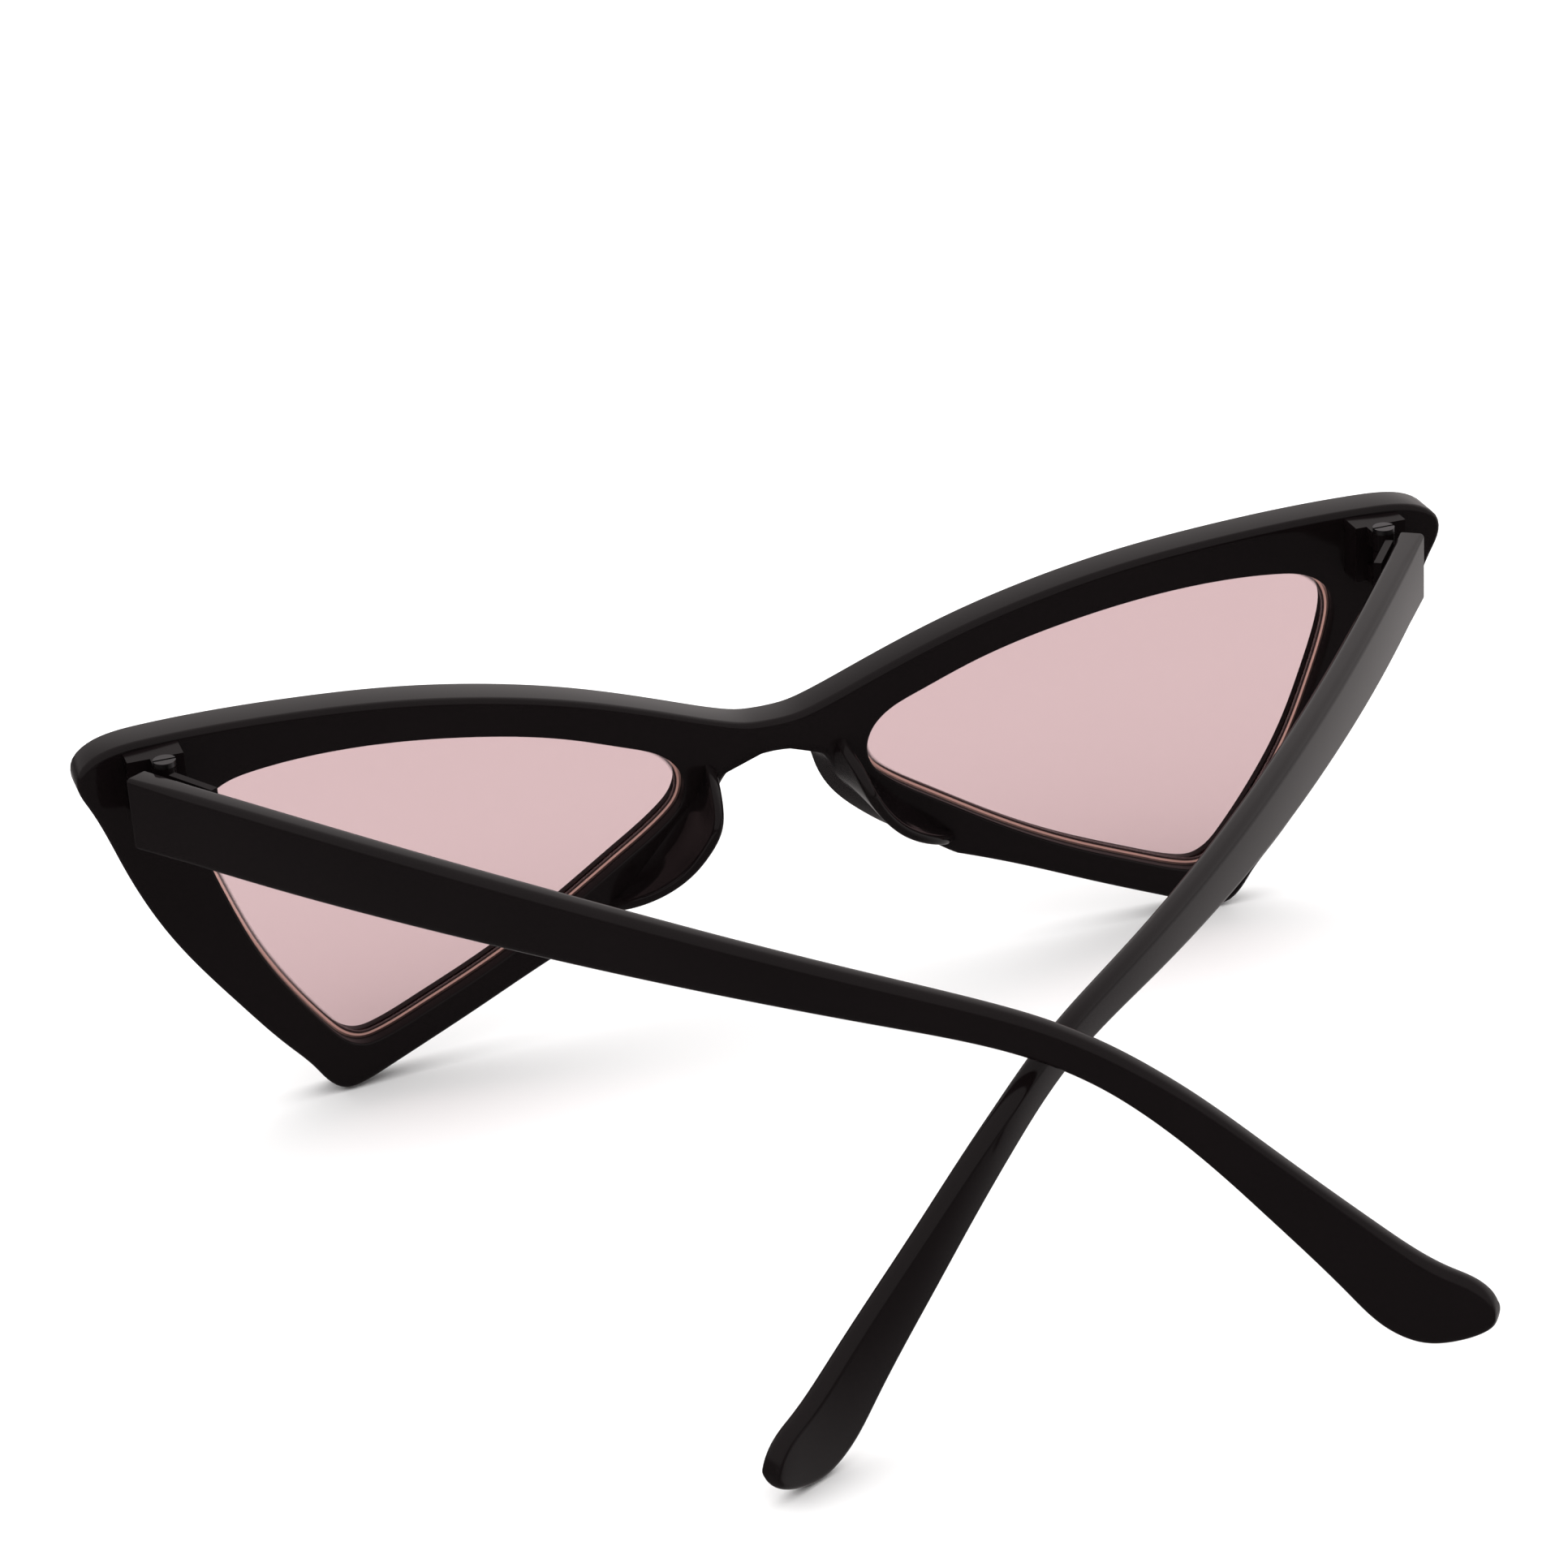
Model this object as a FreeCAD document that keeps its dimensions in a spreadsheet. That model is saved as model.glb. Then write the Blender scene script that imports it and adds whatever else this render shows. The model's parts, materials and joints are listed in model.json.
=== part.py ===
import FreeCAD, Part
import math
import os

from FreeCAD import Placement, Rotation, Vector

# Cat eye sunglasses, millimetres. The front is drawn in its own upright frame: +X the wearer's left,
# +Y from the lenses towards the wearer, +Z up, origin at the top of the bridge on the back face.
# Every sub-part then gets the placement that stands the glasses on their two lower rim tips and on
# the temple tips, with the temples part folded and the left one lying across the right one.

doc = FreeCAD.newDocument("cat_eye_sunglasses")

# name, value, meaning
DRIVING = [
    ("wrap_radius", 454.0, "radius of the back face of the front, seen from above"),
    ("front_thickness", 4.5, "thickness of the front"),
    ("slab_height", 70.0, "height of the curved slab that the front is cut from"),
    ("slab_below", 40.0, "how far that slab starts below the bridge"),
    ("blank_depth", 30.0, "depth of the flat blanks before they are cut to the curve"),
    ("blank_ahead", 12.0, "how far a blank starts ahead of the bridge"),
    ("groove_depth", 0.8, "how deep the lens edge sits in the rim"),
    ("groove_play", 0.04, "free play round the lens edge"),
    ("lens_inset", 2.0, "back face of the front to back face of the lens"),
    ("lens_thickness", 1.4, "thickness of the lens"),
    ("pad_reach", 6.3, "how far a nose pad stands out behind the bridge"),
    ("pad_foot", 1.5, "how deep the foot of a nose pad is sunk in the front"),
    ("pad_base", 2.0, "thickness of a nose pad at its foot"),
    ("pad_edge", 1.2, "thickness of a nose pad at its free edge"),
    ("pad_trim", 0.32, "share of a nose pad's length that is rounded off at each end"),
    ("pad_splay", -0.1, "sideways lean of a nose pad, for each millimetre back"),
    ("pin_x", 65.65, "hinge pin, sideways from the middle"),
    ("pin_y", 9.4, "hinge pin, behind the bridge"),
    ("barrel_base", 6.5, "underside of the lowest hinge barrel"),
    ("barrel_radius", 1.15, "outer radius of a hinge barrel"),
    ("barrel_height", 1.9, "height of each outer barrel"),
    ("barrel_gap", 0.1, "gap between two barrels"),
    ("middle_barrel", 2.2, "height of the middle barrel"),
    ("screw_radius", 0.6, "hinge screw shank"),
    ("screw_play", 0.05, "radial play round the screw shank"),
    ("head_radius", 1.15, "hinge screw head"),
    ("head_height", 0.55, "height of the screw head"),
    ("slot_width", 0.3, "driver slot in the screw head"),
    ("slot_depth", 0.25, "depth of that slot"),
    ("leaf_inboard", 2.3, "front leaf, from the pin towards the nose"),
    ("leaf_outboard", 3.4, "front leaf, from the pin outwards"),
    ("leaf_back", 1.9, "back of the front leaf, ahead of the pin"),
    ("web_half", 1.1, "half width of the web that carries a barrel"),
    ("temple_thickness", 2.75, "thickness of a temple at the hinge"),
    ("tip_thickness", 2.0, "thickness of a temple at its tip"),
    ("temple_outer", 4.2, "outer face of a temple, outboard of the pin"),
    ("plate_thickness", 0.8, "temple leaf, thickness of its plate"),
    ("plate_start", 2.1, "temple leaf, start of its plate behind the pin"),
    ("plate_length", 6.0, "temple leaf, length of its plate"),
    ("left_fold", 31.7, "left temple, degrees from straight back"),
    ("right_fold", 36.6, "right temple, degrees from straight back"),
    ("left_rise", 1.1, "left temple, degrees of upward set"),
    ("right_rise", -1.1, "right temple, degrees of upward set"),
    ("lean", -5.47, "degrees that the front leans back when the glasses stand"),
    ("stand_y", -53.68, "places the standing glasses over their origin"),
    ("stand_z", 31.95, "lifts the standing glasses onto the ground"),
    ("stand_x", 0.0, "places the standing glasses over their origin, sideways"),
]

sheet = doc.addObject("Spreadsheet::Sheet", "dimensions")
for row, (name, value, meaning) in enumerate(DRIVING, start=1):
    sheet.set(f"A{row}", meaning)
    sheet.set(f"B{row}", str(value))
    sheet.setAlias(f"B{row}", name)
doc.recompute()


def dim(name):
    """A driving dimension, read from the sheet."""
    return float(sheet.get(name))


def bind(thing, **sizes):
    """Bind properties of an object to expressions over the sheet."""
    for prop, expression in sizes.items():
        thing.setExpression(prop, expression)


# ---------------------------------------------------------------- outlines, in the upright frame
# Right-hand half of the front seen from behind, from the top of the bridge round to its underside.
BROW = [(0, -0.2), (5, 0.6), (10, 2.4), (20, 6.1), (30, 8.9), (40, 10.9), (50, 12.2), (60, 13.1), (68, 13.4)]
HORN = [(68, 13.4), (71.6, 13.0), (73.9, 11.6), (74.0, 9.9), (73.1, 8.0)]
CHEEK = [(73.1, 8.0), (70.3, 0.0), (66.2, -9.2), (60.1, -18.7), (53.3, -27.8)]
TOE = [(53.3, -27.8), (51.5, -30.3), (49.5, -31.7), (46.7, -31.1)]
UNDER = [(46.7, -31.1), (35, -26.4), (26.7, -22.8), (19.8, -20.1)]
FLANK = [(19.8, -20.1), (14.7, -18.0), (10.4, -15.0), (6.9, -11.3), (5.3, -7.6)]
ARCH = [(5.3, -7.6), (4.7, -5.7), (3.2, -4.4), (0, -3.9)]
HALF_FRONT = [BROW, HORN, CHEEK, TOE, UNDER, FLANK, ARCH]

# Middle line of a nose pad where it leaves the back face, from the arch down the nasal flank.
PAD_LINE = [(6.8, -5.6), (8.5, -7.9), (10.6, -10.7), (13.2, -13.4), (15.8, -15.8), (18.0, -17.7)]

# Opening for the lens on the same side, once round from the nose end along the brow.
OPENING = [(10.9, -3.3), (12.6, -1.6), (16, 0.0), (22, 2.3), (33, 5.2), (44, 6.9), (51, 7.3), (56, 7.15),
           (59.3, 6.5), (61.4, 4.9), (62.2, 2.4), (61.9, -0.2), (60.3, -5.6), (57.6, -12.8), (54.2, -19.1),
           (50.8, -24.1), (49.2, -25.9), (47.4, -26.8), (45.3, -26.6), (41, -25.1), (33, -21.8), (24, -17.0),
           (17.5, -12.9), (12.4, -9.4), (10.8, -7.7), (10.2, -5.5)]

# Side view of a temple as (behind the pin, height), top edge then lower edge, and its outer face
# seen from above as (behind the pin, outboard of the pin).
TEMPLE_TOP = [(-1.1, 12.5), (15, 13.1), (35, 13.5), (50, 13.6), (68, 13.3), (85, 12.6), (97, 11.7), (103, 10.8),
              (109, 9.0), (115, 5.6), (121, 0.1), (129, -8.1), (134.5, -12.0)]
TEMPLE_TIP = [(134.5, -12.0), (137.5, -13.3), (138.6, -15.4), (137.4, -17.6), (134.8, -19.2), (131.8, -19.7),
              (129.8, -18.8)]
TEMPLE_UNDER = [(129.8, -18.8), (127, -15.3), (121, -6.9), (115, 0.3), (109, 4.8), (103, 6.85), (97, 7.65),
                (88, 7.85), (70, 7.5), (45, 6.55), (15, 5.25), (-1.1, 4.75)]
TEMPLE_BOW = [(-1.1, 4.2), (20, 4.2), (35, 3.8), (50, 2.95), (65, 1.5), (80, -0.75), (92, -3.3), (103, -6.3),
              (112, -9.3), (121, -14.4), (130, -20.2), (140, -24.2)]

SIDES = [("left", 1), ("right", -1)]


def curve(points, plane_point):
    """One smooth curve through the points."""
    spline = Part.BSplineCurve()
    spline.interpolate([plane_point(a, b) for a, b in points])
    return spline


def sketch_on(body, name, plane_role, curves):
    """A sketch on one of the body's own origin planes, holding the curves and lines given."""
    plane = next(p for p in body.Origin.OriginFeatures if p.Role == plane_role)
    sketch = body.newObject("Sketcher::SketchObject", name)
    sketch.AttachmentSupport = [(plane, "")]
    sketch.MapMode = "FlatFace"
    for geometry in curves:
        sketch.addGeometry(geometry, False)
    return sketch


def flat(a, b):
    return Vector(a, b, 0)


def mirrored(points):
    return [(-a, b) for a, b in reversed(points)]


def slab(name, inner_offset, outer_offset):
    """Curved slab between two arcs about the wrap axis, offsets counted forwards from the back face."""
    rings = []
    for part_name, offset in (("outer", outer_offset), ("inner", inner_offset)):
        ring = doc.addObject("Part::Cylinder", f"{name}_{part_name}")
        bind(ring, Radius=f"<<dimensions>>.wrap_radius + {offset}", Height="<<dimensions>>.slab_height")
        bind(ring, **{
            "Placement.Base.y": "<<dimensions>>.wrap_radius",
            "Placement.Base.z": "-<<dimensions>>.slab_below",
        })
        rings.append(ring)
    cut = doc.addObject("Part::Cut", name)
    cut.Base, cut.Tool = rings
    return cut


def blank(name, loops):
    """Flat blank: loops in the upright plane, padded through the full depth of the front."""
    body = doc.addObject("PartDesign::Body", name)
    sketch = sketch_on(body, f"{name}_outline", "XZ_Plane", [c for loop in loops for c in loop])
    pad = body.newObject("PartDesign::Pad", f"{name}_pad")
    pad.Profile = sketch
    pad.Reversed = True
    bind(pad, Length="<<dimensions>>.blank_depth")
    body.setExpression("Placement.Base.y", "-<<dimensions>>.blank_ahead")
    return body


def common(name, *shapes):
    result = doc.addObject("Part::MultiCommon", name)
    result.Shapes = list(shapes)
    return result


def fuse(name, *shapes):
    result = doc.addObject("Part::MultiFuse", name)
    result.Shapes = list(shapes)
    return result


def cut(name, base, tool):
    result = doc.addObject("Part::Cut", name)
    result.Base, result.Tool = base, tool
    return result


def cylinder(name, side, radius, height, low):
    """Cylinder on one hinge pin."""
    made = doc.addObject("Part::Cylinder", name)
    bind(made, Radius=radius, Height=height)
    bind(made, **{
        "Placement.Base.x": f"{side} * <<dimensions>>.pin_x",
        "Placement.Base.y": "<<dimensions>>.pin_y",
        "Placement.Base.z": low,
    })
    return made


def box(name, side, inboard, ahead, low, width, depth, height):
    """Box placed from a hinge pin; inboard is the distance from the pin to its side nearer the nose."""
    made = doc.addObject("Part::Box", name)
    bind(made, Length=width, Width=depth, Height=height)
    shift = f"-({inboard})" if side > 0 else f"({inboard}) - ({width})"
    bind(made, **{
        "Placement.Base.x": f"{side} * <<dimensions>>.pin_x + {shift}",
        "Placement.Base.y": f"<<dimensions>>.pin_y - ({ahead})",
        "Placement.Base.z": low,
    })
    return made


def opening_curve(side, growth, plane_point):
    """The lens opening pushed outwards by growth, as one closed smooth curve."""
    base = Part.BSplineCurve()
    base.interpolate([flat(*point) for point in OPENING], PeriodicFlag=True)
    grown = []
    for point in OPENING:
        along = base.tangent(base.parameter(flat(*point)))[0]
        grown.append((side * (point[0] - growth * along.y), point[1] + growth * along.x))
    loop = Part.BSplineCurve()
    loop.interpolate([plane_point(a, b) for a, b in grown], PeriodicFlag=True)
    return loop


def lens_slab(name, side, growth, slab_object):
    """A lens, or the space for its edge: the grown opening cut to a curved slab."""
    blank_shape = doc.addObject("Part::Feature", f"{name}_blank")
    loop = opening_curve(side, growth, lambda a, b: Vector(a, -dim("blank_ahead"), b))
    face = Part.Face(Part.Wire(loop.toShape()))
    blank_shape.Shape = face.extrude(Vector(0, dim("blank_depth"), 0))
    return common(name, blank_shape, slab_object)


def nose_pad(side):
    """Moulded nose pad: a thin fin along the nasal flank, as a loft of strips that shrink backwards."""
    path = curve(PAD_LINE, flat)
    first, last = path.FirstParameter, path.LastParameter
    reach, foot = dim("pad_reach"), -dim("pad_foot")
    levels, stations = 6, 7
    wires = []
    for level in range(levels):
        share = level / (levels - 1)
        depth = foot + (reach - foot) * share
        trim = dim("pad_trim") * share ** 2.4
        half = 0.5 * (dim("pad_base") + (dim("pad_edge") - dim("pad_base")) * share)
        inner, outer = [], []
        for step in range(stations):
            at = first + (last - first) * (trim + (1 - 2 * trim) * step / (stations - 1))
            here, along = path.value(at), path.tangent(at)[0]
            across = Vector(-along.y, along.x, 0)
            middle = here + across * (dim("pad_splay") * max(depth, 0))
            pinch = half * math.sqrt(1 - 0.95 * (2 * step / (stations - 1) - 1) ** 6)
            for chain, sign in ((inner, -1), (outer, 1)):
                point = middle + across * (sign * pinch)
                chain.append(Vector(point.x, depth, point.y))
        loop = Part.BSplineCurve()
        loop.interpolate(inner + outer[::-1], PeriodicFlag=True)
        wires.append(Part.Wire(loop.toShape()))
    fin = doc.addObject("Part::Feature", f"nose_pad_{'left' if side > 0 else 'right'}")
    solid = Part.makeLoft(wires, True)
    fin.Shape = solid if side > 0 else solid.mirror(Vector(), Vector(1, 0, 0))
    return fin


def front_frame():
    """Front: outline with two openings cut from the curved slab, lens grooves, moulded nose pads."""
    outline = [curve(run, flat) for run in HALF_FRONT]
    outline += [curve(mirrored(run), flat) for run in HALF_FRONT]
    openings = [[opening_curve(side, 0, flat)] for _, side in SIDES]
    shell = slab("front_slab", "0", "<<dimensions>>.front_thickness")
    rim = common("front_rim", blank("front_blank", [outline] + openings), shell)
    groove_in = "<<dimensions>>.lens_inset - <<dimensions>>.groove_play"
    groove_out = "<<dimensions>>.lens_inset + <<dimensions>>.lens_thickness + <<dimensions>>.groove_play"
    grooves = []
    for side_name, side in SIDES:
        space = slab(f"groove_slab_{side_name}", groove_in, groove_out)
        growth = dim("groove_depth") + dim("groove_play")
        grooves.append(lens_slab(f"lens_groove_{side_name}", side, growth, space))
    grooved = cut("front_grooved", rim, fuse("lens_grooves", *grooves))
    pads = [nose_pad(side) for _, side in SIDES]
    clear_of_lens = cut("nose_pads_trimmed", fuse("nose_pads", *pads), fuse("lens_spaces", *[
        lens_slab(f"lens_space_{n}", s, 0.0, slab(f"lens_space_slab_{n}", "0", "<<dimensions>>.front_thickness"))
        for n, s in SIDES]))
    return fuse("front_frame", grooved, clear_of_lens)


def lens(side_name, side):
    """Flat-tinted lens, curved like the front, its edge in the rim's groove."""
    layer = slab(f"lens_slab_{side_name}", "<<dimensions>>.lens_inset",
                 "<<dimensions>>.lens_inset + <<dimensions>>.lens_thickness")
    return lens_slab(f"lens_{side_name}", side, dim("groove_depth"), layer)


LOW = "<<dimensions>>.barrel_base"
BARREL = "<<dimensions>>.barrel_height"
GAP = "<<dimensions>>.barrel_gap"
MIDDLE = "<<dimensions>>.middle_barrel"
UPPER = f"{LOW} + {BARREL} + {GAP} + {MIDDLE} + {GAP}"
STACK = f"2 * {BARREL} + 2 * {GAP} + {MIDDLE}"


def front_leaf(side_name, side):
    """Hinge leaf on the front: block on the back face, two webs, two barrels, screw bore."""
    label = f"hinge_leaf_front_{side_name}"
    block = box(f"{label}_block", side, "<<dimensions>>.leaf_inboard", "8", LOW,
                "<<dimensions>>.leaf_inboard + <<dimensions>>.leaf_outboard",
                "8 - <<dimensions>>.leaf_back", STACK)
    solids = [block]
    for place, low in (("lower", LOW), ("upper", UPPER)):
        solids.append(cylinder(f"{label}_{place}", side, "<<dimensions>>.barrel_radius", BARREL, low))
        solids.append(box(f"{label}_{place}_web", side, "<<dimensions>>.web_half", "7", low,
                          "2 * <<dimensions>>.web_half", "7", BARREL))
    ground = doc.addObject("Part::Cylinder", f"{label}_seat")
    bind(ground, Radius="<<dimensions>>.wrap_radius", Height="<<dimensions>>.slab_height")
    bind(ground, **{
        "Placement.Base.y": "<<dimensions>>.wrap_radius",
        "Placement.Base.z": "-<<dimensions>>.slab_below",
    })
    seated = common(f"{label}_seated", fuse(f"{label}_solid", *solids), ground)
    bore = cylinder(f"{label}_bore", side, "<<dimensions>>.screw_radius", f"2 + {STACK}", f"{LOW} - 1")
    return cut(label, seated, bore)


def temple_leaf(side_name, side):
    """Hinge leaf on a temple: middle barrel, web and the plate on the temple's inner face."""
    label = f"hinge_leaf_temple_{side_name}"
    face = "(<<dimensions>>.temple_outer - <<dimensions>>.temple_thickness)"
    barrel_low = f"{LOW} + {BARREL} + {GAP}"
    barrel = cylinder(f"{label}_barrel", side, "<<dimensions>>.barrel_radius", MIDDLE, barrel_low)
    web = box(f"{label}_web", side, "-0.1", "0", barrel_low, f"{face} - 0.1",
              "<<dimensions>>.plate_start + 1", MIDDLE)
    plate = box(f"{label}_plate", side, f"<<dimensions>>.plate_thickness - {face}",
                "-<<dimensions>>.plate_start", LOW, "<<dimensions>>.plate_thickness",
                "<<dimensions>>.plate_length", STACK)
    bore = cylinder(f"{label}_bore", side, "<<dimensions>>.screw_radius + <<dimensions>>.screw_play",
                    f"2 + {STACK}", f"{LOW} - 1")
    return cut(label, fuse(f"{label}_solid", barrel, web, plate), bore)


def hinge_screw(side_name, side):
    """Slotted hinge screw down the barrels."""
    label = f"hinge_screw_{side_name}"
    top = f"{LOW} + {STACK}"
    shank = cylinder(f"{label}_shank", side, "<<dimensions>>.screw_radius", STACK, LOW)
    head = cylinder(f"{label}_head", side, "<<dimensions>>.head_radius", "<<dimensions>>.head_height", top)
    slot = box(f"{label}_slot", side, "2", "<<dimensions>>.slot_width / 2",
               f"{top} + <<dimensions>>.head_height - <<dimensions>>.slot_depth", "4",
               "<<dimensions>>.slot_width", "1")
    return cut(label, fuse(f"{label}_solid", shank, head), slot)


def thickness_at(behind):
    """A temple thins evenly from its hinge end to its tip."""
    start, end = TEMPLE_BOW[0][0], TEMPLE_BOW[-1][0]
    share = (behind - start) / (end - start)
    return dim("temple_thickness") + share * (dim("tip_thickness") - dim("temple_thickness"))


def temple(side_name, side):
    """Temple: its side view cut out of a bowed slab of even thickness, drawn from the hinge pin."""
    label = f"temple_{side_name}"
    profile = doc.addObject("PartDesign::Body", f"{label}_profile")
    runs = [TEMPLE_TOP, TEMPLE_TIP, TEMPLE_UNDER]
    edges = [curve(run, flat) for run in runs]
    end = [TEMPLE_UNDER[-1], TEMPLE_TOP[0]]
    edges.append(Part.LineSegment(flat(*end[0]), flat(*end[1])))
    outline = sketch_on(profile, f"{label}_side_view", "YZ_Plane", edges)
    pad = profile.newObject("PartDesign::Pad", f"{label}_width")
    pad.Profile = outline
    pad.Midplane = True
    pad.Length = 80
    bowed = doc.addObject("PartDesign::Body", f"{label}_bow")
    outer = [(side * x, y) for y, x in TEMPLE_BOW]
    inner = [(x - side * thickness_at(y), y) for x, y in outer]
    ends = [Part.LineSegment(flat(*outer[0]), flat(*inner[0])), Part.LineSegment(flat(*outer[-1]), flat(*inner[-1]))]
    plan = sketch_on(bowed, f"{label}_plan", "XY_Plane", [curve(outer, flat), curve(inner, flat)] + ends)
    height = bowed.newObject("PartDesign::Pad", f"{label}_height")
    height.Profile = plan
    height.Midplane = True
    height.Length = 90
    return common(label, profile, bowed)


# ---------------------------------------------------------------- build, place, check, write
standing = Placement(Vector(dim("stand_x"), dim("stand_y"), dim("stand_z")), Rotation(Vector(1, 0, 0), dim("lean")))

front_nodes = [front_frame()]
moving_nodes = []
for side_name, side in SIDES:
    front_nodes += [lens(side_name, side), front_leaf(side_name, side), hinge_screw(side_name, side)]
    moving_nodes.append((side_name, side, temple(side_name, side), temple_leaf(side_name, side)))
doc.recompute()

for node in front_nodes:
    node.Placement = standing.multiply(node.Placement)
for side_name, side, arm, leaf in moving_nodes:
    pin = Vector(side * dim("pin_x"), dim("pin_y"), 0)
    fold = Placement(pin, Rotation(Vector(0, 0, 1), side * dim(f"{side_name}_fold")))
    rise = Placement(Vector(), Rotation(Vector(1, 0, 0), dim(f"{side_name}_rise")))
    arm.Placement = standing.multiply(fold).multiply(rise)
    leaf.Placement = standing.multiply(fold).multiply(Placement(pin.negative(), Rotation()))
doc.recompute()

nodes = front_nodes + [piece for entry in moving_nodes for piece in entry[2:]]
for thing in doc.Objects:
    bad = {"Invalid", "Error"} & set(thing.State)
    if bad:
        raise RuntimeError(f"{thing.Name} is {sorted(bad)}")
for node in nodes:
    node.Label = node.Name
    if node.Shape.isNull() or not node.Shape.isValid() or not node.Shape.Solids:
        raise RuntimeError(f"{node.Name} has no valid solid")

os.makedirs("parts", exist_ok=True)
low = Vector(1e9, 1e9, 1e9)
high = Vector(-1e9, -1e9, -1e9)
for node in nodes:
    node.Shape.exportStep(f"parts/{node.Name}.step")
    bounds = node.Shape.BoundBox
    low = Vector(min(low.x, bounds.XMin), min(low.y, bounds.YMin), min(low.z, bounds.ZMin))
    high = Vector(max(high.x, bounds.XMax), max(high.y, bounds.YMax), max(high.z, bounds.ZMax))
    print(f"{node.Name:28s} {len(node.Shape.Solids)} solid {node.Shape.Volume:9.1f} mm3  z {bounds.ZMin:.2f} {bounds.ZMax:.2f}")
print("box", [round(v, 2) for v in (*low, *high)])
print("size", [round(v, 2) for v in (high - low)])
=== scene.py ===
"""Cat eye sunglasses: a glossy black front with pink lenses, moulded nose pads and two folded temples.

Shapes are worked out in millimetres in the upright frame of the front (+X the wearer's left, +Y from the
lenses towards the wearer, +Z up, origin at the top of the bridge on the back face) and then stood on the
ground by the same turn and shift as the CAD model, which are read from its left hinge joint.
"""

import json
import math
from types import SimpleNamespace

import bmesh
import bpy
import numpy as np
from mathutils import Euler, Matrix, Vector


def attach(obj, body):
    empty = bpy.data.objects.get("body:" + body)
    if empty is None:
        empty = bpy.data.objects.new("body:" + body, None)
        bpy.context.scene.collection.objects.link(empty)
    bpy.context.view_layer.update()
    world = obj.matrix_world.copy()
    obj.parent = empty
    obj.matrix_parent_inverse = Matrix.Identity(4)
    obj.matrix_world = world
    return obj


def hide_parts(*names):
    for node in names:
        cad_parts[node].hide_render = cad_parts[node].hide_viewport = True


bl_info = {
    "name": "Cat Eye Sunglasses",
    "version": (1, 0, 0),
    "blender": (4, 5, 0),
    "location": "3D View > Sidebar > Sunglasses",
    "description": "Builds the visible pieces of cat eye sunglasses around their CAD frame",
    "category": "Object",
}

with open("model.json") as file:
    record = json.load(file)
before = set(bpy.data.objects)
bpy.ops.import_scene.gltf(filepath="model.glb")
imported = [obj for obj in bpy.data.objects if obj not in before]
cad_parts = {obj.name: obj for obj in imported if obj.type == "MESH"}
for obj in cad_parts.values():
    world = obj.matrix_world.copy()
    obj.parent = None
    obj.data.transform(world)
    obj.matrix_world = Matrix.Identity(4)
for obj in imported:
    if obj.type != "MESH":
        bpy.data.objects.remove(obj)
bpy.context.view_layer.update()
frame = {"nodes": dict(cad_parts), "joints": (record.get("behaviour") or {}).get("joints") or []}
JOINTS = {joint["name"]: joint for joint in frame["joints"]}
MM = 0.001
FINE = 6000  # points on a curve of the front that is only read from
MERGE = 1e-6  # metres within which points of neighbouring surfaces are one point
NO_AREA = 1e-8  # metres within which an edge counts as having no length
SHARP_EDGE = math.radians(40)
FACE_ROWS = 8  # rows of points across a face of the rim
SIDES = (("left", 1), ("right", -1))

# ------------------------------------------------------------------ outlines, upright frame, millimetres
# Left half of the front as (across, up), from the top of the bridge, out along the brow and back to the arch.
OUTLINE = np.array([
    (0, -0.2), (2.5, -0.05), (5, 0.6), (10, 2.45), (15, 4.35), (20, 6.1), (30, 8.9), (40, 10.9), (50, 12.2),
    (60, 13.1), (66, 13.4), (69.6, 13.35), (72.2, 12.7), (73.7, 11.4), (73.9, 9.7), (73.1, 7.6), (70.3, 0.0),
    (66.2, -9.3), (60.1, -18.7), (55.4, -25.1), (52.9, -28.3), (51.3, -30.6), (49.8, -31.6), (47.9, -31.5),
    (45.6, -30.7), (35, -26.4), (26.7, -22.8), (19.8, -20.1), (14.7, -18.0), (10.4, -15.0), (6.9, -11.3),
    (5.3, -7.6), (4.75, -5.8), (3.3, -4.45), (1.6, -4.0), (0, -3.9)])
# Left lens opening, from its nose end along the top, clockwise as the wearer sees it from behind.
OPENING = np.array([
    (10.9, -3.3), (12.6, -1.6), (16, 0.0), (22, 2.3), (33, 5.2), (44, 6.9), (51, 7.3), (56, 7.15),
    (59.3, 6.5), (61.4, 4.9), (62.2, 2.4), (61.9, -0.2), (60.3, -5.6), (57.6, -12.8), (54.2, -19.1),
    (50.8, -24.1), (49.2, -25.9), (47.4, -26.8), (45.3, -26.6), (41, -25.1), (33, -21.8), (24, -17.0),
    (17.5, -12.9), (12.4, -9.4), (10.8, -7.7), (10.2, -5.5)])
# Places on the outline and on the opening that face each other, and the stations between them.
FACING = [((0, -0.2), (10.6, -3.8), 14), ((10, 2.45), (13.4, -1.1), 90), ((73.6, 11.6), (61.2, 5.2), 80),
          ((49.8, -31.6), (48.4, -26.5), 60), ((19.8, -20.1), (21.0, -15.2), 44),
          ((5.3, -7.6), (11.3, -8.3), 20), ((0, -3.9), (10.3, -6.6), 0)]
CUT_STATIONS = 8
# Ends of the slanted nasal flank and of the nose pad on it, as (across, up), low end first.
FLANK_LOW, FLANK_HIGH = (19.8, -20.1), (3.0, -4.35)
PAD_LOW, PAD_HIGH = (18.9, -19.7), (4.6, -5.6)
LENS_MIDDLE = np.array((40.0, -4.0))
LENS_TUCK = 0.35  # how far the lens reaches past the opening into the rim
# Distances from the lens's edge of the rings that carry its painted edge highlight and painted shade line.
EDGE_RINGS = np.array((2.0, 1.5, 1.2, 1.05, 0.9, 0.8, 0.7, 0.62, 0.54, 0.4, 0.2, 0.0))

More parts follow.
